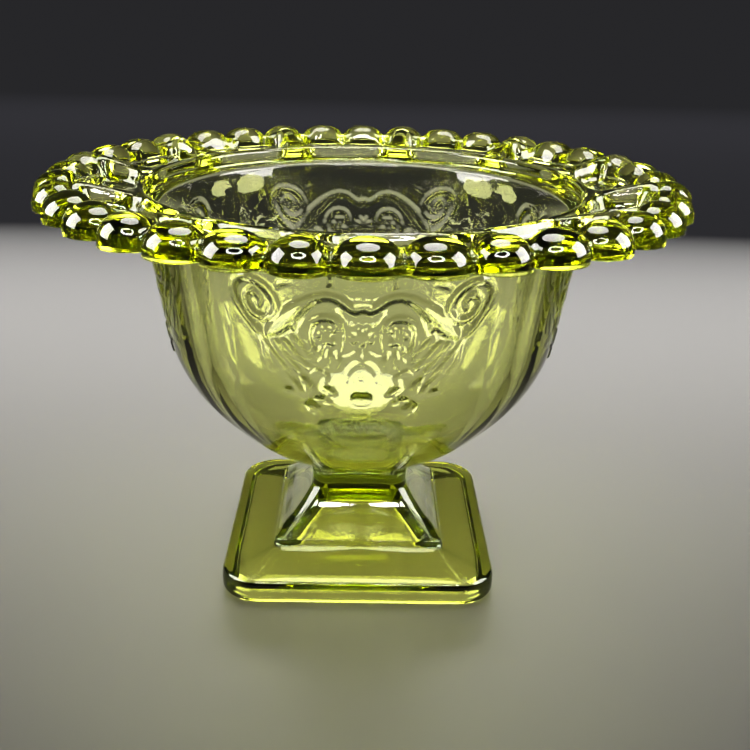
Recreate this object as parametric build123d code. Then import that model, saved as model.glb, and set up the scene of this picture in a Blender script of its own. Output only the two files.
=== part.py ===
from build123d import *
import os
from math import cos, radians, sin

# Footed glass dish: a round bowl with a flared, beaded lace rim on a neck and a stepped square
# foot. The real thing is one piece of pressed glass, cut here where its sections meet.
# Millimetres, +Z up, origin at the middle of the foot's underside.

# Foot
foot_side = 84.6
foot_corner = 12.0
foot_edge_height = 7.2
lower_tier_rise = 3.7
riser_height = 2.2
upper_tier_side = 52.4
upper_tier_corner = 3.0
upper_tier_rise = 12.3
foot_wall = 4.6
foot_roof = 4.6

# Neck
neck_side = 30.4
neck_corner = 4.5
neck_height = 5.6

# Bowl, as heights above the neck and outer radii; its base stands just inside the neck's sides
bowl_base_margin = 0.4
bowl_low_height = 11.2
bowl_low_radius = 35.3
bowl_belly_height = 27.9
bowl_belly_radius = 51.9
bowl_shoulder_height = 43.0
bowl_shoulder_radius = 58.6
bowl_height = 83.5
bowl_mouth_radius = 65.0
bowl_wall = 4.5

# Lace rim, as heights above the bowl's top edge
flange_width = 30.0
collar_height = 6.5
collar_wall = 3.2
ledge_width = 3.8
ledge_height = 1.4
rim_under_rise = 1.6
bead_lift = 2.8
bead_height = 8.0
bead_side = 2.6
land_drop = 2.6
rim_turn = 5.5
repeats = 12
beads_per_repeat = 3
bar_width = 6.5
cup_floor = 2.0
cup_corner = 5.0
cup_margin = 1.5
narrow_bead_radius = 7.4
wide_bead_radius = 8.3

neck_bottom = foot_edge_height + lower_tier_rise + riser_height + upper_tier_rise
neck_top = neck_bottom + neck_height
bowl_base_radius = neck_side / 2 - bowl_base_margin
bowl_top = neck_top + bowl_height
rim_radius = bowl_mouth_radius + flange_width
bowl_mouth_inner = bowl_mouth_radius - bowl_wall
collar_inner = bowl_mouth_inner + ledge_width
collar_top = bowl_top + collar_height
rim_under = bowl_top + rim_under_rise
bead_bottom = bowl_top + bead_lift
bead_top = bead_bottom + bead_height
step_angle = 360 / (repeats * beads_per_repeat)
land_radius = rim_radius - 2 * narrow_bead_radius


def rounded_square(side, corner, z):
    return Plane.XY.offset(z) * RectangleRounded(side, side, corner)


def tier(side, corner, top_side, top_corner, z, rise):
    """A hipped block that narrows from one rounded square to a smaller one."""
    return loft([rounded_square(side, corner, z), rounded_square(top_side, top_corner, z + rise)])


def foot_outside():
    edge = extrude(rounded_square(foot_side, foot_corner, 0), foot_edge_height)
    lower_top = foot_edge_height + lower_tier_rise
    lower = tier(
        foot_side, foot_corner, upper_tier_side, upper_tier_corner, foot_edge_height, lower_tier_rise
    )
    riser = extrude(
        rounded_square(upper_tier_side, upper_tier_corner, lower_top), riser_height
    )
    upper = tier(
        upper_tier_side,
        upper_tier_corner,
        neck_side,
        neck_corner,
        lower_top + riser_height,
        upper_tier_rise,
    )
    return edge + lower + riser + upper


def foot_hollow():
    """The recess underneath, which follows the two tiers at the roof's thickness."""
    mouth_side = foot_side - 2 * foot_wall
    mouth_corner = foot_corner - foot_wall
    low = foot_edge_height - foot_roof
    step = low + lower_tier_rise
    inner_side = upper_tier_side - 2 * foot_wall
    peak_side = neck_side - 2 * foot_wall
    mouth = extrude(rounded_square(mouth_side, mouth_corner, 0), low)
    lower = tier(mouth_side, mouth_corner, inner_side, upper_tier_corner, low, lower_tier_rise)
    upper = tier(
        inner_side,
        upper_tier_corner,
        peak_side,
        upper_tier_corner,
        step,
        riser_height + upper_tier_rise - foot_roof / 2,
    )
    return mouth + lower + upper


def make_foot():
    return foot_outside() - foot_hollow()


def make_neck():
    return extrude(rounded_square(neck_side, neck_corner, neck_bottom), neck_height)


def make_bowl():
    """A wall of even thickness, open at the top, on a flat round base."""
    base = (bowl_base_radius, neck_top)
    low = (bowl_low_radius, neck_top + bowl_low_height)
    belly = (bowl_belly_radius, neck_top + bowl_belly_height)
    shoulder = (bowl_shoulder_radius, neck_top + bowl_shoulder_height)
    mouth = (bowl_mouth_radius, bowl_top)
    lower_curve = ThreePointArc(base, low, belly)
    upper_curve = TangentArc(belly, shoulder, tangent=lower_curve % 1)
    outline = (
        Line((0, neck_top), base)
        + lower_curve
        + upper_curve
        + Line(shoulder, mouth)
        + Line(mouth, (0, bowl_top))
        + Line((0, bowl_top), (0, neck_top))
    )
    outside = revolve(Plane.XZ * make_face(outline), Axis.Z)
    opening = outside.faces().sort_by(Axis.Z)[-1]
    return offset(outside, amount=-bowl_wall, openings=opening)


def rim_ring():
    """The flange's section, turned: a ledge on the bowl's edge, the collar, and the beads' band."""
    outer = rim_radius - narrow_bead_radius
    land_top = bead_top - land_drop
    section = Polyline(
        (bowl_mouth_inner, bowl_top),
        (bowl_mouth_radius, bowl_top),
        (outer, rim_under),
        (outer, land_top),
        (land_radius, land_top),
        (collar_inner + collar_wall, collar_top),
        (collar_inner, collar_top),
        (collar_inner, bowl_top + ledge_height),
        (bowl_mouth_inner, bowl_top + ledge_height),
        close=True,
    )
    return revolve(Plane.XZ * make_face(section), Axis.Z)


def bead(radius, angle):
    """A round-topped stud with its outer side on the rim's outermost circle."""
    cap = bead_height - bead_side
    cap_radius = (radius**2 + cap**2) / (2 * cap)
    block = Cylinder(radius, bead_height, align=(Align.CENTER, Align.CENTER, Align.MIN))
    ball = Pos(0, 0, bead_height - cap_radius) * Sphere(cap_radius)
    stud = block & ball
    reach = rim_radius - radius
    place = Location((reach * cos(radians(angle)), reach * sin(radians(angle)), bead_bottom))
    return place * stud


def beads():
    """Along each repeat: a wide bead, a narrow one at the end of a bar, and a wide one."""
    studs = []
    for repeat in range(repeats):
        middle = 360 / repeats * (repeat + 0.5)
        studs.append(bead(narrow_bead_radius, middle))
        studs.append(bead(wide_bead_radius, middle - step_angle))
        studs.append(bead(wide_bead_radius, middle + step_angle))
    return studs


def cup(angle):
    """The hollow between two bars, closed by the collar inside and the beads outside."""
    inner = collar_inner + collar_wall
    outer = land_radius - cup_margin
    half_bar = bar_width / 2
    half_turn = radians(180 / repeats)
    sector = Polyline(
        (inner, -inner * sin(half_turn) + half_bar),
        (outer, -outer * sin(half_turn) + half_bar),
        (outer, outer * sin(half_turn) - half_bar),
        (inner, inner * sin(half_turn) - half_bar),
        close=True,
    )
    corner = min(cup_corner, 0.45 * (outer - inner))
    plan = fillet(make_face(sector).vertices(), corner)
    top = bead_top + bead_height
    floor = rim_under + cup_floor
    return Rot(0, 0, angle) * extrude(Plane.XY.offset(floor) * plan, top - floor)


def make_rim():
    """Ring, beads and cups, turned a little from the foot's sides as the mould leaves them."""
    ring = rim_ring() + beads()
    cups = [cup(360 / repeats * repeat) for repeat in range(repeats)]
    return Rot(0, 0, rim_turn) * (ring - cups)


os.makedirs("parts", exist_ok=True)
sections = {
    "foot": make_foot(),
    "neck": make_neck(),
    "bowl": make_bowl(),
    "lace_rim": make_rim(),
}
for name, section in sections.items():
    export_step(section, f"parts/{name}.step")
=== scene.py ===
import bpy, bmesh, math
import numpy as np
from mathutils import Matrix, Vector


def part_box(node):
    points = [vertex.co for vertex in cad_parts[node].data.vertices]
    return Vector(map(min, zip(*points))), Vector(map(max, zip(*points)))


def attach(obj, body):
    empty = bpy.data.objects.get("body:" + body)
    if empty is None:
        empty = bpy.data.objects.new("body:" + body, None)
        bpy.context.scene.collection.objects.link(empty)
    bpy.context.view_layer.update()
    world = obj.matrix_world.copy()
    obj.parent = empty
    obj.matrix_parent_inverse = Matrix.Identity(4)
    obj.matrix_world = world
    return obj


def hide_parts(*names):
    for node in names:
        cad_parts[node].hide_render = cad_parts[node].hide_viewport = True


# footed olive glass dish: four glass pieces, a hair apart, each a sector repeated round the axis
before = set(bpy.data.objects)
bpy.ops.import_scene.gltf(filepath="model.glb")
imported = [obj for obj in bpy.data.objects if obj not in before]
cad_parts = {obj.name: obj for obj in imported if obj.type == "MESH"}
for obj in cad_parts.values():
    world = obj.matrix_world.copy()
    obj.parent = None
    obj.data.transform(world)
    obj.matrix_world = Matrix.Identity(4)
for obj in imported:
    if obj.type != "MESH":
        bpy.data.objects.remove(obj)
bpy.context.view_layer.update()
mm = 0.001


def box(node):
    low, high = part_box(node)
    return [c / mm for c in low], [c / mm for c in high]  # millimetres, as every size below


# camera
view = {"place": (-0.00083, -0.29826, 0.17727), "down": 21.70, "aside": 1.014, "tilt": 1.358, "lens": 47.89}

camData = bpy.data.cameras.new("camera")
camData.lens = view["lens"]
camData.sensor_width = 36
camData.clip_start = 0.01
camera = bpy.data.objects.new("camera", camData)
bpy.context.collection.objects.link(camera)
camera.matrix_world = (
    Matrix.Translation(view["place"])
    @ Matrix.Rotation(math.radians(-view["aside"]), 4, "Z")
    @ Matrix.Rotation(math.radians(90 - view["down"]), 4, "X")
    @ Matrix.Rotation(math.radians(view["tilt"]), 4, "Z")
)
bpy.context.scene.camera = camera
print("camera placed")


# small maths used by every piece
def clamp01(x):
    return np.clip(x, 0.0, 1.0)


def ease(x):
    x = clamp01(x)
    return x * x * (3 - 2 * x)


def quarterRound(x):  # 0 at x = 0, 1 from x = 1 on, like the shoulder of a round
    return np.sqrt(clamp01(1 - (1 - clamp01(x)) ** 2))


def softMax(a, b, k):
    h = np.maximum(k - np.abs(a - b), 0) / k
    return np.maximum(a, b) + h * h * k / 4


def softMin(a, b, k):
    return -softMax(-a, -b, k)


def curveThrough(points, steps):  # smooth line through a few points, all their columns alike
    p = np.array(points, float)
    p = np.vstack([2 * p[0] - p[1], p, 2 * p[-1] - p[-2]])
    out = []
    for i in range(1, len(p) - 2):
        for t in np.linspace(0, 1, steps, endpoint=False):
            a, b, c, d = p[i - 1], p[i], p[i + 1], p[i + 2]
            square = (2 * a - 5 * b + 4 * c - d) * t**2
            cube = (3 * b - a - 3 * c + d) * t**3
            out.append(0.5 * (2 * b + (c - a) * t + square + cube))
    out.append(p[-2])
    return np.array(out)


def evenSteps(path, gap):  # points along a path no further apart than gap, ends kept
    out = [path[0]]
    for a, b in zip(path[:-1], path[1:]):
        n = max(1, int(math.ceil(np.linalg.norm(b[:2] - a[:2]) / gap)))
        out += [a + (b - a) * k / n for k in range(1, n + 1)]
    return np.array(out)


def roundCorners(points, cuts, steps=5):  # each corner of a path eased over its own cut length
    p = np.array(points, float)
    out = [p[0]]
    for i in range(1, len(p) - 1):
        toBack, toNext = p[i - 1] - p[i], p[i + 1] - p[i]
        back = np.linalg.norm(toBack[:2])
        ahead = np.linalg.norm(toNext[:2])
        cut = min(cuts[i], 0.45 * back, 0.45 * ahead)
        if cut <= 0:
            out.append(p[i])
            continue
        a, b = p[i] + toBack / back * cut, p[i] + toNext / ahead * cut
        for t in np.linspace(0, 1, steps + 1):
            out.append((1 - t) ** 2 * a + 2 * t * (1 - t) * p[i] + t * t * b)
    out.append(p[-1])
    return np.array(out)


# the tree that turns one sector into a whole piece
def repeatTree():
    tree = bpy.data.node_groups.new("repeatRound", "GeometryNodeTree")
    face = tree.interface
    face.new_socket("Sector", in_out="INPUT", socket_type="NodeSocketGeometry")
    ids = {}
    ids["count"] = face.new_socket("Count", in_out="INPUT", socket_type="NodeSocketInt").identifier
    ids["turn"] = face.new_socket("Turn", in_out="INPUT", socket_type="NodeSocketFloat").identifier
    ids["join"] = face.new_socket("Join Distance", in_out="INPUT", socket_type="NodeSocketFloat").identifier
    ids["glass"] = face.new_socket("Glass", in_out="INPUT", socket_type="NodeSocketMaterial").identifier
    face.new_socket("Piece", in_out="OUTPUT", socket_type="NodeSocketGeometry")
    n, link = tree.nodes, tree.links.new
    start, end = n.new("NodeGroupInput"), n.new("NodeGroupOutput")
    points = n.new("GeometryNodePoints")
    link(start.outputs["Count"], points.inputs["Count"])
    index = n.new("GeometryNodeInputIndex")
    share = n.new("ShaderNodeMath")
    share.operation = "DIVIDE"
    link(index.outputs[0], share.inputs[0])
    link(start.outputs["Count"], share.inputs[1])
    angle = n.new("ShaderNodeMath")
    angle.operation = "MULTIPLY_ADD"
    angle.inputs[1].default_value = math.tau
    link(share.outputs[0], angle.inputs[0])
    link(start.outputs["Turn"], angle.inputs[2])
    spin = n.new("ShaderNodeCombineXYZ")
    link(angle.outputs[0], spin.inputs["Z"])
    place = n.new("GeometryNodeInstanceOnPoints")
    link(points.outputs[0], place.inputs["Points"])
    link(start.outputs["Sector"], place.inputs["Instance"])
    link(spin.outputs[0], place.inputs["Rotation"])
    real = n.new("GeometryNodeRealizeInstances")
    link(place.outputs[0], real.inputs[0])
    join = n.new("GeometryNodeMergeByDistance")
    link(real.outputs[0], join.inputs["Geometry"])
    link(start.outputs["Join Distance"], join.inputs["Distance"])
    coat = n.new("GeometryNodeSetMaterial")
    link(join.outputs[0], coat.inputs["Geometry"])
    link(start.outputs["Glass"], coat.inputs["Material"])
    link(coat.outputs[0], end.inputs["Piece"])
    return tree, ids


repeatRound, repeatIds = repeatTree()
joinDistance = 0.00002  # sectors merge where their edge points meet


def makePiece(name, grid, weldRows, closed, count, turn, glass):
    # grid: rows by columns of points in millimetres; weldRows: face rows pressed against a neighbour
    rows, cols = grid.shape[:2]
    last = rows if closed else rows - 1
    faces, weld = [], []
    for i in range(last):
        k = (i + 1) % rows
        for j in range(cols - 1):
            faces.append((i * cols + j, i * cols + j + 1, k * cols + j + 1, k * cols + j))
            weld.append(1.0 if i in weldRows else 0.0)
    mesh = bpy.data.meshes.new(name)
    mesh.from_pydata((grid.reshape(-1, 3) * mm).tolist(), [], faces)
    mesh.attributes.new("weld", "FLOAT", "FACE").data.foreach_set("value", weld)
    ob = bpy.data.objects.new(name, mesh)
    bpy.context.collection.objects.link(ob)
    mod = ob.modifiers.new("repeat", "NODES")
    mod.node_group = repeatRound
    mod[repeatIds["count"]] = count
    mod[repeatIds["turn"]] = math.radians(turn)
    mod[repeatIds["join"]] = joinDistance
    mod[repeatIds["glass"]] = glass
    whole = bpy.data.meshes.new_from_object(ob.evaluated_get(bpy.context.evaluated_depsgraph_get()))
    ob.modifiers.clear()
    ob.data = whole
    whole.name = name
    if not whole.materials:
        whole.materials.append(glass)
    bm = bmesh.new()
    bm.from_mesh(whole)
    bmesh.ops.dissolve_degenerate(bm, dist=1e-7, edges=bm.edges)
    bmesh.ops.recalc_face_normals(bm, faces=bm.faces)
    layer = bm.faces.layers.float.get("weld")
    for f in bm.faces:
        f.smooth = True
    for e in bm.edges:
        if len(e.link_faces) == 2 and e.link_faces[0][layer] != e.link_faces[1][layer]:
            e.smooth = False
    loose = sum(1 for e in bm.edges if len(e.link_faces) != 2)
    bm.to_mesh(whole)
    bm.free()
    print(name, "faces", len(whole.polygons), "open edges", loose)
    return ob


# glass
glassLook = {
    "index": 1.52,
    "rough": 0.012,
    "take": (15.5, 12.5, 102.0),  # light taken per metre, red green blue
    "streakScale": 26, "streakDetail": 3, "streakBend": 0.8,
    "streaks": ((0.30, (0.95, 0.975, 0.90, 1)), (0.70, (1.0, 1.0, 0.97, 1))),
    "smearScale": 95, "smearDetail": 5, "smearFrom": 0.45, "smearTo": 0.8,
}


def makeGlass(name, ripple, rippleScale, grain, grainScale, scuff, paintedShadeFactor=1.0):
    m = bpy.data.materials.new(name)
    m.use_nodes = True
    n, link = m.node_tree.nodes, m.node_tree.links.new
    n.clear()
    out = n.new("ShaderNodeOutputMaterial")
    p = n.new("ShaderNodeBsdfPrincipled")
    p.inputs["Transmission Weight"].default_value = 1.0
    link(p.outputs[0], out.inputs["Surface"])
    where = n.new("ShaderNodeTexCoord")
    # pale streaks of the melt
    streak = n.new("ShaderNodeTexNoise")
    streak.inputs["Scale"].default_value = glassLook["streakScale"]
    streak.inputs["Detail"].default_value = glassLook["streakDetail"]
    streak.inputs["Distortion"].default_value = glassLook["streakBend"]
    link(where.outputs["Object"], streak.inputs["Vector"])
    tint = n.new("ShaderNodeValToRGB")
    for element, (at, colour) in zip(tint.color_ramp.elements, glassLook["streaks"]):
        element.position = at
        element.color = colour
    link(streak.outputs["Fac"], tint.inputs["Fac"])
    # where pieces touch, light goes straight through
    weld = n.new("ShaderNodeAttribute")
    weld.attribute_name = "weld"
    clear = n.new("ShaderNodeMix")
    clear.data_type = "RGBA"
    link(weld.outputs["Fac"], clear.inputs["Factor"])
    link(tint.outputs["Color"], clear.inputs["A"])
    clear.inputs["B"].default_value = (1, 1, 1, 1)
    link(clear.outputs["Result"], p.inputs["Base Color"])
    index = n.new("ShaderNodeMapRange")
    index.inputs["To Min"].default_value = glassLook["index"]
    index.inputs["To Max"].default_value = 1.0
    link(weld.outputs["Fac"], index.inputs["Value"])
    link(index.outputs["Result"], p.inputs["IOR"])
    p.inputs["IOR"].default_value = glassLook["index"]
    # handling marks in the gloss
    smear = n.new("ShaderNodeTexNoise")
    smear.inputs["Scale"].default_value = glassLook["smearScale"]
    smear.inputs["Detail"].default_value = glassLook["smearDetail"]
    link(where.outputs["Object"], smear.inputs["Vector"])
    gloss = n.new("ShaderNodeMapRange")
    gloss.inputs["From Min"].default_value = glassLook["smearFrom"]
    gloss.inputs["From Max"].default_value = glassLook["smearTo"]
    gloss.inputs["To Min"].default_value = glassLook["rough"]
    gloss.inputs["To Max"].default_value = glassLook["rough"] + scuff
    link(smear.outputs["Fac"], gloss.inputs["Value"])
    smooth = n.new("ShaderNodeMix")
    link(weld.outputs["Fac"], smooth.inputs["Factor"])
    link(gloss.outputs["Result"], smooth.inputs["A"])
    smooth.inputs["B"].default_value = 0.0
    link(smooth.outputs["Result"], p.inputs["Roughness"])
    # the mould's slow ripple and its fine skin
    wave = n.new("ShaderNodeTexNoise")
    wave.inputs["Scale"].default_value = rippleScale
    wave.inputs["Detail"].default_value = 1
    link(where.outputs["Object"], wave.inputs["Vector"])
    skin = n.new("ShaderNodeTexNoise")
    skin.inputs["Scale"].default_value = grainScale
    skin.inputs["Detail"].default_value = 2
    link(where.outputs["Object"], skin.inputs["Vector"])
    low = n.new("ShaderNodeBump")
    low.inputs["Strength"].default_value = 1.0
    low.inputs["Distance"].default_value = ripple * mm
    link(wave.outputs["Fac"], low.inputs["Height"])
    high = n.new("ShaderNodeBump")
    high.inputs["Strength"].default_value = 1.0
    high.inputs["Distance"].default_value = grain * mm
    link(skin.outputs["Fac"], high.inputs["Height"])
    link(low.outputs[0], high.inputs["Normal"])
    link(high.outputs[0], p.inputs["Normal"])
    # olive that deepens with thickness; a factor above 1 makes a piece's glass denser than the rest, painted
    # shade
    depth = n.new("ShaderNodeVolumeAbsorption")
    most = max(glassLook["take"])
    depth.inputs["Density"].default_value = most * paintedShadeFactor
    depth.inputs["Color"].default_value = tuple(1 - t / most for t in glassLook["take"]) + (1,)
    link(depth.outputs[0], out.inputs["Volume"])
    return m


# lace rim
rim = {
    "radius": 94.98, "narrow": 7.4, "wide": 8.3, "turn": 5.5, "repeats": 12,
    "beadTop": 125.29, "beadShoulder": 118.5, "beadFoot": 117.3, "beadArch": 2.25, "beadBack": 5.2,
    "flangeEdge": 87.6, "underRise": 1.6, "landRise": 1.5, "barRise": 2.3, "bar": 2.9, "barFlare": 6.4,
    "cupInner": 67.6, "cupOuter": 81.6, "cupFloor": 2.0, "wallRound": 2.4,
    "collarTop": 121.0, "collarInner": 64.3, "columns": 79,
}
rimLow, rimHigh = box("lace_rim")
bowlLow, bowlHigh = box("bowl")
seat = rimLow[2]
mouthOuter = bowlHigh[0]
wall = 4.5  # the bowl's, which the rim sits on
mouthInner = mouthOuter - wall


def beadList(angle):  # angle from a hollow's middle, 0 to 30
    far, wide = rim["radius"], rim["wide"]
    return [
        (np.radians(angle - at), far - size, size)
        for at, size in zip((-5, 5, 15, 25, 35), (wide, wide, rim["narrow"], wide, wide))
    ]


def rimReach(angle):
    reach = np.full_like(angle, rim["flangeEdge"] + 0.3)
    for off, ring, size in beadList(angle):
        inside = size**2 - (ring * np.sin(off)) ** 2
        edge = ring * np.cos(off) + np.sqrt(np.maximum(inside, 0))
        reach = np.where(inside > 0, softMax(reach, edge, 0.5), reach)
    return np.minimum(reach, rim["radius"])


def underside(r):
    return seat + rim["underRise"] * clamp01((r - mouthOuter) / (rim["flangeEdge"] - mouthOuter))


def rimTop(r, angle):
    fromHollow = np.minimum(angle, 30 - angle)
    aside = r * np.radians(15 - fromHollow)  # from the bar's middle
    floor = underside(r) + rim["cupFloor"]
    lift = rim["landRise"] + rim["barRise"] * np.exp(-((aside / 3.6) ** 2))
    crest = rim["collarTop"] + lift * clamp01((r - rim["cupInner"]) / 15)
    edge = quarterRound((rim["flangeEdge"] + 0.3 - r) / 4.5)
    crest = rim["beadShoulder"] + (crest - rim["beadShoulder"]) * edge
    bar = rim["bar"] + rim["barFlare"] * np.exp(-np.maximum(r - 66, 0) / 3.0)
    hollow = softMin(softMin(aside - bar, r - rim["cupInner"], 3.0), rim["cupOuter"] - r, 2.5)
    wall = 1 - ease((hollow + 0.55 * rim["wallRound"]) / rim["wallRound"])
    top = floor + (crest - floor) * wall
    for off, ring, size in beadList(angle):
        rise = rim["beadTop"] - rim["beadShoulder"]
        out, side = r * np.cos(off) - ring, r * np.sin(off)
        out = np.where(out < 0, out * size / rim["beadBack"], out)  # the inner half of a bead is shorter
        away = np.hypot(out, side)
        arch = clamp01(1 - clamp01(away / size) ** rim["beadArch"]) ** (1 / rim["beadArch"])
        dome = rim["beadShoulder"] + rise * arch - 4 * np.maximum(away - size, 0)
        top = softMax(top, dome, 0.7)
    return np.minimum(top, rim["beadTop"])


def rimGrid():
    angle = np.linspace(0, 30, rim["columns"])
    reach = rimReach(angle)
    same = np.ones_like(angle)
    rows = []

    def add(r, z):
        rows.append((r * same, z * same))

    for r in (mouthInner, 0.5 * (mouthInner + mouthOuter), mouthOuter):
        add(r, seat)
    add(mouthOuter + 0.25, seat + 0.03)
    for r in np.linspace(mouthOuter + 1, rim["flangeEdge"] - 1.0, 12):
        add(r, underside(r))
    edge = rim["flangeEdge"]
    top = underside(edge)
    add(edge - 0.45, top + 0.02)
    add(edge - 0.12, top + 0.18)
    add(edge, top + 0.5)
    add(edge + 0.02, rim["beadFoot"] - 0.15)
    for t in (0.08, 0.3, 0.6, 0.85, 0.96):
        rows.append((edge + (reach - edge) * t, same * rim["beadFoot"] + 0.25 * max(t - 0.8, 0)))
    for z in (0.2, 0.5, 0.9, 1.2):
        add(reach, rim["beadFoot"] + z)
    for k in range(1, 25):
        r = reach - (reach - 80.0) * (k / 24) ** 2
        rows.append((r, rimTop(r, angle)))
    for r in np.arange(79.4, 66.2, -0.6):
        rows.append((r * same, rimTop(r * same, angle)))
    inner = rim["collarInner"]
    for r in (66.0, 65.5, 65.05, 64.7, 64.45, 64.32):
        add(r, rim["collarTop"] - 1.1 * (1 - quarterRound((r - inner) / 1.6)))
    for z in (119.4, 118.6, 117.8, 117.1):
        add(inner, z)
    ledge = (
        (64.22, 116.65), (63.95, 116.25), (63.5, 116.0), (62.8, 115.9), (61.9, 115.88), (61.25, 115.75),
        (60.8, 115.45), (mouthInner + 0.05, 115.0),
    )
    for r, z in ledge:
        add(r, z)
    r = np.array([row[0] for row in rows])
    z = np.array([row[1] for row in rows])
    a = np.radians(angle)[None, :]
    return np.stack([r * np.cos(a), r * np.sin(a), z], axis=-1)


rimGlass = makeGlass(
    "oliveGlassRim", ripple=0.10, rippleScale=55, grain=0.006, grainScale=900, scuff=0.03,
)
gap = 0.03  # between touching pieces, so that no two faces share a place
grid = rimGrid()
grid[:3, :, 2] += gap
laceRim = makePiece("lace_rim_glass", grid, {0, 1}, True, rim["repeats"], rim["turn"], rimGlass)

# bowl
bowl = {
    "profile": (  # height above the base, outer radius: the outline fit's own result, kept as it came
        (0, 14.8), (5.1, 24.8), (10.8, 34.8), (18.4, 43.6), (27.9, 51.9), (39.3, 57.8), (52.6, 60.4),
        (65.9, 62.3), (77.3, 64.1), (83.5, 65.0),
    ),
    "wall": wall, "floor": 4.6,
    "fluteFrom": 33.5, "fluteDeep": 0.45, "panelSwell": 0.25, "proud": 0.55,
    "reliefAcross": 61.0,
}
base = bowlLow[2]

# scroll relief, one half of a panel: (across, height, half width) along each line, and how proud it stands
scrollLines = [
    (1.5, True, ((0.3, 101.6, 1.2), (2.3, 101.2, 1.2), (5.7, 103.6, 1.1), (8.6, 104.4, 1.1),
                 (11.9, 103.5, 1.3),
                 (14.8, 101.5, 1.8), (17.6, 99.0, 2.3), (20.3, 96.4, 2.6), (22.6, 94.0, 2.1),
                 (24.8, 92.2, 0.7))),
    (1.1, False, ((17.9, 97.6, 1.0), (17.3, 95.6, 0.8), (17.1, 94.0, 0.3))),
    (1.3, True, ((27.6, 92.6, 0.8), (30.6, 96.4, 1.0), (33.0, 100.6, 1.1), (33.4, 104.2, 1.1),
                 (30.9, 107.0, 1.1),
                 (27.2, 106.9, 1.1), (23.4, 104.7, 1.2), (21.6, 101.0, 1.2), (22.3, 98.0, 1.2),
                 (24.8, 96.7, 1.1),
                 (27.7, 97.4, 1.0), (29.6, 99.6, 0.9), (29.8, 102.3, 0.8), (27.7, 103.8, 0.8),
                 (25.7, 101.9, 0.7),
                 (26.3, 99.8, 0.5))),
    (0.7, False, ((21.7, 104.8, 0.4), (20.3, 106.6, 0.6), (17.4, 107.1, 0.3))),
    (1.2, True, ((10.8, 87.7, 0.8), (12.9, 90.0, 1.0), (13.6, 93.7, 1.0), (12.5, 96.8, 1.0),
                 (9.6, 98.5, 1.0),
                 (6.5, 97.6, 1.0), (5.3, 94.8, 0.9), (5.5, 91.2, 0.8), (5.9, 89.0, 0.5))),
    (0.9, False, ((22.6, 90.4, 1.0), (19.8, 86.6, 1.5), (17.0, 82.8, 0.8))),
    (0.9, False, ((20.1, 90.6, 1.0), (17.2, 87.4, 1.5), (14.3, 84.2, 0.8))),
    (0.8, False, ((17.2, 91.6, 0.9), (14.8, 88.6, 1.3), (12.6, 85.8, 0.6))),
    (0.8, False, ((24.7, 88.4, 0.5), (21.8, 84.9, 0.9), (18.6, 81.4, 0.4))),
    (0.8, False, ((27.7, 95.3, 0.5), (26.9, 92.4, 0.6), (25.8, 89.0, 0.5), (25.5, 85.0, 0.5),
                 (24.0, 81.6, 0.5))),
    (0.8, False, ((26.9, 93.7, 0.5), (25.2, 89.6, 0.5), (23.4, 85.7, 0.6), (20.6, 81.4, 0.6),
                 (17.1, 76.8, 0.4))),
    (1.1, False, ((9.9, 90.6, 0.5), (11.0, 88.2, 1.0), (11.9, 85.6, 0.3))),
    (1.1, False, ((8.5, 89.4, 0.5), (8.9, 86.6, 1.0), (9.2, 83.6, 0.3))),
    (1.1, False, ((6.6, 88.8, 0.5), (6.1, 86.4, 0.9), (6.2, 83.9, 0.3))),
    (0.8, False, ((13.4, 81.8, 0.4), (11.4, 83.2, 0.6), (9.2, 81.8, 0.7), (9.9, 79.6, 0.4))),
    (1.1, False, ((16.3, 81.2, 0.4), (14.4, 78.6, 1.4), (15.2, 75.6, 0.3))),
    (1.0, False, ((18.6, 80.0, 0.4), (16.8, 77.4, 1.0), (15.4, 74.8, 0.3))),
    (1.0, False, ((10.6, 78.4, 0.3), (8.6, 77.6, 1.0), (6.6, 75.8, 0.3))),
    (0.9, False, ((21.6, 76.2, 0.3), (19.7, 76.7, 0.8), (17.7, 75.6, 0.3))),
    (0.9, False, ((13.0, 74.6, 0.3), (10.6, 74.9, 0.8), (8.2, 73.7, 0.3))),
    (0.9, False, ((11.6, 73.6, 0.3), (9.4, 76.0, 0.6), (7.4, 79.4, 0.3))),
    (0.9, False, ((1.0, 89.8, 0.6), (0.5, 87.6, 0.7), (0.0, 85.6, 0.6))),
    (0.8, False, ((4.9, 87.4, 0.4), (2.9, 88.0, 0.5), (1.2, 89.6, 0.4))),
    (0.9, False, ((4.0, 80.6, 0.4), (3.4, 83.6, 0.5), (1.8, 85.5, 0.6), (0.0, 86.2, 0.6))),
    (0.8, False, ((0.0, 82.0, 0.4), (1.4, 79.9, 0.5), (0.0, 77.8, 0.4))),
]
leafSprays = [  # middle across, middle height, reach, leaves, half width, first leaf's lean in degrees
    (0.0, 93.2, 3.4, 8, 0.75, 22),
    (13.4, 72.2, 2.2, 6, 0.7, 10),
]
berries = {"middle": (8.6, 93.6), "across": 2, "up": 3, "gap": 1.9, "round": 1.1, "proud": 1.1}
nub = {"middle": 75.2, "halfAcross": 3.2, "halfUp": 2.2, "proud": 1.5, "pip": 1.4}


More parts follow.
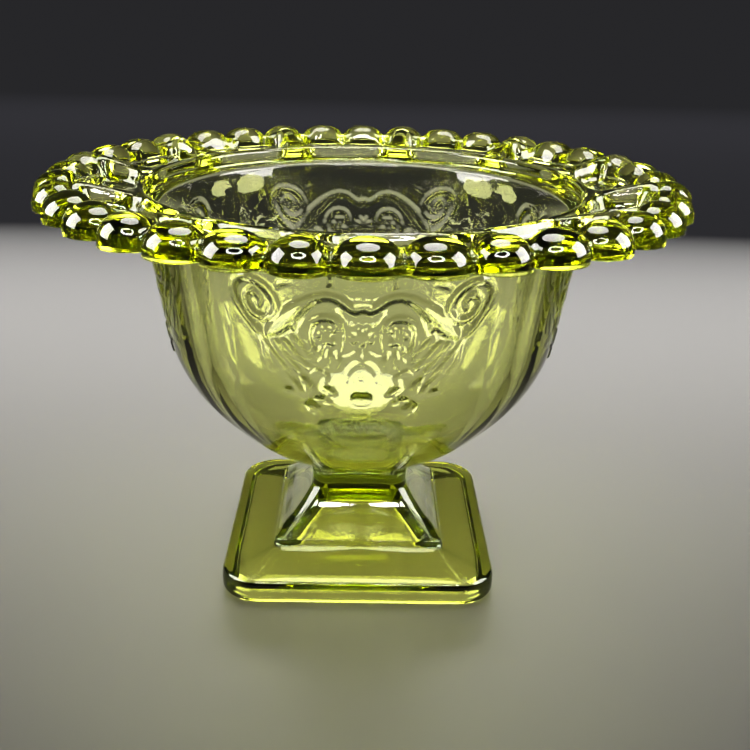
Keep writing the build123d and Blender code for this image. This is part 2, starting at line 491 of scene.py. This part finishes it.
def lineRelief(u, v, points, proud, roped):
    line = curveThrough(points, 7)
    best = np.zeros_like(u)
    run = np.concatenate([[0], np.cumsum(np.linalg.norm(np.diff(line[:, :2], axis=0), axis=1))])
    for k in range(len(line) - 1):
        a, b = line[k], line[k + 1]
        d = b[:2] - a[:2]
        size = max(d @ d, 1e-9)
        t = clamp01(((u - a[0]) * d[0] + (v - a[1]) * d[1]) / size)
        du, dv = u - a[0] - t * d[0], v - a[1] - t * d[1]
        far = np.hypot(du, dv)
        half = a[2] + t * (b[2] - a[2])
        rise = np.sqrt(clamp01(1 - (far / half) ** 2)) * clamp01(half / 0.8)
        if roped:
            side = (du * d[1] - dv * d[0]) / math.sqrt(size)
            along = run[k] + t * (run[k + 1] - run[k])
            rise = rise * (0.86 + 0.14 * np.cos(math.tau * (along + side) / 1.9))
        best = np.maximum(best, rise)
    return best * proud


def panelRelief(u, v):
    u = np.abs(u)
    top = np.zeros_like(u)
    for proud, roped, points in scrollLines:
        p = np.array(points)
        reach = p[:, 2].max() + 1
        near = (
            (u > p[:, 0].min() - reach) & (u < p[:, 0].max() + reach)
            & (v > p[:, 1].min() - reach) & (v < p[:, 1].max() + reach)
        )
        if near.any():
            top[near] = np.maximum(top[near], lineRelief(u[near], v[near], points, proud, roped))
    for cu, cv, reach, count, half, lean in leafSprays:
        for k in range(count):
            turn = math.radians(lean + 360 * k / count)
            along = (u - cu) * math.cos(turn) + (v - cv) * math.sin(turn)
            across = -(u - cu) * math.sin(turn) + (v - cv) * math.cos(turn)
            leaf = half * np.sin(math.pi * clamp01(along / reach)) + 1e-6
            dome = 1.1 * np.sqrt(clamp01(1 - (across / leaf) ** 2))
            top = np.maximum(top, np.where((along > 0) & (along < reach), dome, 0))
    for i in range(berries["across"]):
        for k in range(berries["up"]):
            bu = berries["middle"][0] + (i - 0.5 + 0.5 * (k % 2)) * berries["gap"]
            bv = berries["middle"][1] + (k - 1) * berries["gap"] * 0.9
            far = np.hypot(u - bu, v - bv) / berries["round"]
            top = np.maximum(top, berries["proud"] * np.sqrt(clamp01(1 - far**2)))
    oval = np.hypot(u / nub["halfAcross"], (v - nub["middle"]) / nub["halfUp"])
    pips = 0.85 + 0.15 * np.cos(math.tau * u / nub["pip"]) * np.cos(math.tau * v / nub["pip"])
    return np.maximum(top, nub["proud"] * np.sqrt(clamp01(1 - oval**2)) * pips)


def bowlGrid():
    outer = curveThrough(bowl["profile"], 24)[:, ::-1] + np.array([0, base])  # radius, height
    tangent = np.gradient(outer, axis=0)
    tangent /= np.linalg.norm(tangent, axis=1)[:, None]
    normal = np.stack([tangent[:, 1], -tangent[:, 0]], axis=1)
    run = np.concatenate([[0], np.cumsum(np.linalg.norm(np.diff(outer, axis=0), axis=1))])

    def at(s, column):
        return np.interp(s, run, column)

    # row places: fine over the relief, coarser below
    stops, s = [], 0.0
    while s < run[-1] - 0.3:
        stops.append(s)
        h = at(s, outer[:, 1])
        s += 0.6 if 69 < h < 109.5 else 1.9
    stops.append(run[-1])
    stops = np.array(stops)
    deg = np.concatenate([
        np.linspace(-45, -34, 9)[:-1],
        np.linspace(-34, 34, 137)[:-1],
        np.linspace(34, 45, 9),
    ])
    r, z = at(stops, outer[:, 0]), at(stops, outer[:, 1])
    nr, nz = at(stops, normal[:, 0]), at(stops, normal[:, 1])
    R, D = np.meshgrid(r, deg, indexing="ij")
    Z = np.repeat(z[:, None], len(deg), 1)
    across = np.radians(D) * bowl["reliefAcross"]
    fade = ease((Z - 44) / 16) * ease((112.5 - Z) / 6)
    flute = np.sin(math.pi * clamp01((np.abs(D) - bowl["fluteFrom"]) / (45 - bowl["fluteFrom"])))
    swell = bowl["panelSwell"] * (1 - (D / bowl["fluteFrom"]) ** 2) * (np.abs(D) < bowl["fluteFrom"])
    lift = fade * (swell - bowl["fluteDeep"] * flute)
    near = (Z > 68) & (Z < 110)
    relief = np.zeros_like(Z)
    relief[near] = panelRelief(across[near], Z[near])
    lift = lift + relief * bowl["proud"]
    lift[0] = lift[-1] = 0
    Rout = R + nr[:, None] * lift
    Zout = Z + nz[:, None] * lift
    # inside wall, even with the plain outside
    inside = outer - bowl["wall"] * normal
    inside[-1] = (mouthInner, outer[-1, 1])
    inside = inside[inside[:, 1] > base + 4.0]
    inside[:, 1] = softMax(inside[:, 1], np.full(len(inside), base + bowl["floor"]), 1.6)
    floorTop = base + bowl["floor"]
    inside = evenSteps(np.vstack([inside[::-9], [[7.0, floorTop + 0.05]], [[0.0, floorTop]]]), 4.4)
    inside[0] = (mouthInner, outer[-1, 1])
    parts = []
    for rr in (0.0, 0.5, 1.0):
        parts.append((np.full(len(deg), rr * r[0]), np.full(len(deg), base)))
    for i in range(1, len(stops)):
        parts.append((Rout[i], Zout[i]))
    top = len(parts) - 1
    parts.append((np.full(len(deg), 0.5 * (mouthOuter + mouthInner)), np.full(len(deg), z[-1])))
    for rr, zz in inside:
        parts.append((np.full(len(deg), rr), np.full(len(deg), zz)))
    rr = np.array([p[0] for p in parts])
    zz = np.array([p[1] for p in parts])
    a = np.radians(deg - 90)[None, :]
    return np.stack([rr * np.cos(a), rr * np.sin(a), zz], axis=-1), {0, 1, top, top + 1}


bowlGlass = makeGlass(
    "oliveGlassBowl", ripple=0.16, rippleScale=48, grain=0.008, grainScale=850, scuff=0.025,
)
grid, welds = bowlGrid()
print("bowl rows", grid.shape[0], "columns", grid.shape[1])
bowlPiece = makePiece("bowl_glass", grid, welds, False, 4, 0.0, bowlGlass)


# foot and neck: rounded squares of changing size
def squareSector(half, corner, flat=22, turn=7):  # a quarter of a rounded square, from corner to corner
    corner = min(corner, half)
    c = half - corner
    pts = []
    for t in np.linspace(-45, 0, turn):
        pts.append((c + corner * math.cos(math.radians(t)), -c + corner * math.sin(math.radians(t))))
    for y in np.linspace(-c, c, flat + 1)[1:-1]:
        pts.append((half, y))
    for t in np.linspace(0, 45, turn):
        pts.append((c + corner * math.cos(math.radians(t)), c + corner * math.sin(math.radians(t))))
    return np.array(pts)


def squareGrid(path):
    rows = []
    for half, z, corner in path:
        xy = squareSector(half, corner)
        rows.append(np.column_stack([xy, np.full(len(xy), z)]))
    return np.array(rows)


def weldRowsBy(path, test):
    return {i for i in range(len(path) - 1) if test(path[i]) and test(path[i + 1])}


footLow, footHigh = box("foot")
foot = {
    "half": footHigh[0] - 0.02, "corner": 12.0, "edge": 7.2, "lower": 10.9, "riser": 13.1, "upperHalf": 26.2,
    "upperCorner": 3.0, "topHalf": 15.2, "topCorner": 4.5, "top": footHigh[2],
}
footPath = [
    (0, foot["top"], 0),
    (foot["topHalf"], foot["top"], foot["topCorner"]),
    (17.6, 21.6, 4.3),
    (20.9, 17.6, 3.8),
    (25.6, foot["riser"] + 0.1, 3.2),
    (foot["upperHalf"], foot["riser"] - 0.3, foot["upperCorner"]),
    (foot["upperHalf"] + 0.25, foot["lower"], foot["upperCorner"]),
    (34.0, 9.0, 7.5),
    (foot["half"] - 0.3, foot["edge"] + 0.05, foot["corner"]),
    (foot["half"], foot["edge"] - 3.0, foot["corner"]),
    (foot["half"], 0.0, foot["corner"]),
    (37.7, 0.0, 7.4),
    (37.4, 2.6, 7.4),
    (21.6, 6.3, 3.0),
    (10.6, 18.5, 3.0),
    (0, 18.5, 0),
]
footCuts = [0, 0, 2.5, 2.5, 1.0, 0.5, 0.9, 4, 2.6, 0.8, 3.2, 1.2, 1.0, 1.2, 1.5, 0]
# the foot's glass is made half again as dense as the rim's and bowl's, painted shade
footGlass = makeGlass(
    "oliveGlassFoot", ripple=0.12, rippleScale=60, grain=0.006, grainScale=900, scuff=0.03, paintedShadeFactor=1.5,
)
path = evenSteps(roundCorners(footPath, footCuts), 2.2)
topRows = weldRowsBy(
    path, lambda p: p[1] > foot["top"] - 1e-6 and p[0] <= foot["topHalf"] + 1e-6
)
grid = squareGrid(path)
footPiece = makePiece("foot_glass", grid, topRows, False, 4, 0.0, footGlass)

neckLow, neckHigh = box("neck")
neck = {"half": 15.2, "corner": 4.5, "waist": 0.35}
neckPath = [
    (0, neckLow[2] + gap, 0),
    (neck["half"], neckLow[2] + gap, neck["corner"]),
    (neck["half"] - neck["waist"], neckLow[2] + 1.6, neck["corner"]),
    (neck["half"] - neck["waist"], neckHigh[2] - 1.6, neck["corner"]),
    (neck["half"], neckHigh[2] - 0.5, neck["corner"] + 0.3),
    (14.8, neckHigh[2] - gap, 14.8),
    (0, neckHigh[2] - gap, 0),
]
# the neck's glass is made two and a half times as dense as the rim's and bowl's, painted shade
neckGlass = makeGlass(
    "oliveGlassNeck", ripple=0.10, rippleScale=70, grain=0.006, grainScale=900, scuff=0.02, paintedShadeFactor=2.5,
)
path = evenSteps(roundCorners(neckPath, [0, 0, 0.8, 0.8, 0.25, 0, 0]), 1.2)
lowRows = weldRowsBy(path, lambda p: p[1] < neckLow[2] + gap + 1e-6)
highRows = weldRowsBy(path, lambda p: p[1] > neckHigh[2] - gap - 1e-6)
neckPiece = makePiece("neck_glass", squareGrid(path), lowRows | highRows, False, 4, 0.0, neckGlass)

for piece, node in ((laceRim, "lace_rim"), (bowlPiece, "bowl"), (footPiece, "foot"), (neckPiece, "neck")):
    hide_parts(node)
    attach(piece, "root")
print("glass pieces made")

# floor, with a pool of light painted round the dish, and lamps
# the table's own colour is pale; the rest paints a pool of light round the dish: further out the table
# darkens to nearly black and glows faintly at the backdrop's colour, a painted glow
stage = {
    "floorHalf": 40.0, "drop": 0.0003, "pale": (0.17, 0.163, 0.150), "far": (0.006, 0.006, 0.008),
    "paintedPoolTo": 0.12, "paintedDarkFrom": 0.46, "across": 0.35, "backdropAndPaintedGlow": (0.020, 0.020, 0.022), "roughness": 0.50,
}


def makeFloor():
    h = stage["floorHalf"]
    mesh = bpy.data.meshes.new("floor")
    corners = [(x * h, y * h, -stage["drop"]) for x, y in ((-1, -1), (1, -1), (1, 1), (-1, 1))]
    mesh.from_pydata(corners, [], [(0, 1, 2, 3)])
    ob = bpy.data.objects.new("floor", mesh)
    bpy.context.collection.objects.link(ob)
    m = bpy.data.materials.new("paleTablePaintedPool")
    m.use_nodes = True
    n, link = m.node_tree.nodes, m.node_tree.links.new
    p = n["Principled BSDF"]
    where = n.new("ShaderNodeTexCoord")
    far = n.new("ShaderNodeVectorMath")
    far.operation = "LENGTH"
    squash = n.new("ShaderNodeVectorMath")
    squash.operation = "MULTIPLY"
    squash.inputs[1].default_value = (stage["across"], 1, 1)
    link(where.outputs["Object"], squash.inputs[0])
    link(squash.outputs["Vector"], far.inputs[0])
    # painted pool of light: 0 near the dish, 1 far out; it darkens the table, takes away its sheen and makes
    # it glow there
    fade = n.new("ShaderNodeMapRange")
    fade.interpolation_type = "SMOOTHSTEP"
    fade.inputs["From Min"].default_value = stage["paintedPoolTo"]
    fade.inputs["From Max"].default_value = stage["paintedDarkFrom"]
    link(far.outputs["Value"], fade.inputs["Value"])
    mix = n.new("ShaderNodeMix")
    mix.data_type = "RGBA"
    mix.inputs["A"].default_value = stage["pale"] + (1,)
    mix.inputs["B"].default_value = stage["far"] + (1,)
    link(fade.outputs["Result"], mix.inputs["Factor"])
    link(mix.outputs["Result"], p.inputs["Base Color"])
    shine = n.new("ShaderNodeMath")
    shine.operation = "MULTIPLY_ADD"
    shine.inputs[1].default_value, shine.inputs[2].default_value = -1.0, 1.0
    link(fade.outputs["Result"], shine.inputs[0])
    link(shine.outputs[0], p.inputs["Specular IOR Level"])
    p.inputs["Roughness"].default_value = stage["roughness"]
    # painted glow: the far table shines at the backdrop's colour though it is no lamp
    p.inputs["Emission Color"].default_value = stage["backdropAndPaintedGlow"] + (1,)
    link(fade.outputs["Result"], p.inputs["Emission Strength"])
    mesh.materials.append(m)
    return ob


def areaLight(name, place, aim, size, watts, colour=(1, 1, 1), high=None):
    data = bpy.data.lights.new(name, "AREA")
    data.shape = "RECTANGLE" if high else "DISK"
    data.size = size
    data.size_y = high or size
    data.energy = watts
    data.color = colour
    ob = bpy.data.objects.new(name, data)
    bpy.context.collection.objects.link(ob)
    turn = (Vector(aim) - Vector(place)).to_track_quat("-Z", "Y").to_matrix().to_4x4()
    ob.matrix_world = Matrix.Translation(place) @ turn
    ob.visible_camera = False
    return ob


aim = (0, 0, 0.09)  # the dish's middle


def ringLight():  # small soft lamps in a circle above the lens, for the round glint on every bead
    lamps = []
    for k in range(lights["ringLamps"]):
        a = math.tau * k / lights["ringLamps"]
        up = lights["ringZ"] + lights["ringRadius"] * math.sin(a)
        place = (lights["ringRadius"] * math.cos(a), lights["ringY"], up)
        lamps.append(areaLight("ring_%02d" % k, place, aim, 0.032, lights["ringWatts"], lights["warm"]))
    return lamps


lights = {
    "warm": (1.0, 0.975, 0.94), "ringLamps": 18, "ringRadius": 0.12, "ringY": -0.28, "ringZ": 0.40,
    "ringWatts": 0.12,
    "boxWatts": 13.0, "topWatts": 7.0, "fillWatts": 1.4, "sweepWatts": 16.0,
}
floor = makeFloor()
ring = ringLight()
boxes = [
    areaLight("leftBox", (-0.60, -0.10, 0.40), aim, 0.50, lights["boxWatts"], lights["warm"], high=0.5),
    areaLight("rightBox", (0.60, -0.10, 0.40), aim, 0.50, lights["boxWatts"], lights["warm"], high=0.5),
    areaLight("topBox", (0.0, 0.12, 0.75), (0, 0, 0.1), 0.50, lights["topWatts"], lights["warm"]),
]
lows = [
    areaLight("fill", (0.0, 0.0, 0.9), (0, 0, 0), 0.6, lights["fillWatts"], lights["warm"]),
    areaLight(
        "sweep", (0.0, 1.20, 0.37), (0, 0.2, 0.05), 2.0, lights["sweepWatts"], lights["warm"], high=0.20,
    ),
]
tableLit = bpy.data.collections.new("tableLit")  # these only brighten the table
tableLit.objects.link(floor)
for lamp in lows:
    lamp.light_linking.receiver_collection = tableLit
lows[0].light_linking.blocker_collection = tableLit  # the dish casts no shadow from this lamp
glassLit = bpy.data.collections.new("glassLit")  # and the boxes and the ring only touch the dish
for piece in (laceRim, bowlPiece, footPiece, neckPiece):
    glassLit.objects.link(piece)
for lamp in boxes + ring:
    lamp.light_linking.receiver_collection = glassLit

world = bpy.data.worlds.new("room")
bpy.context.scene.world = world
world.use_nodes = True
world.node_tree.nodes["Background"].inputs["Color"].default_value = stage["backdropAndPaintedGlow"] + (1,)
world.node_tree.nodes["Background"].inputs["Strength"].default_value = 1.0

cycles = bpy.context.scene.cycles
cycles.max_bounces = 24
cycles.transmission_bounces = 24
cycles.glossy_bounces = 8
cycles.diffuse_bounces = 4
bpy.context.scene.view_settings.view_transform = "Standard"
print("lights set")
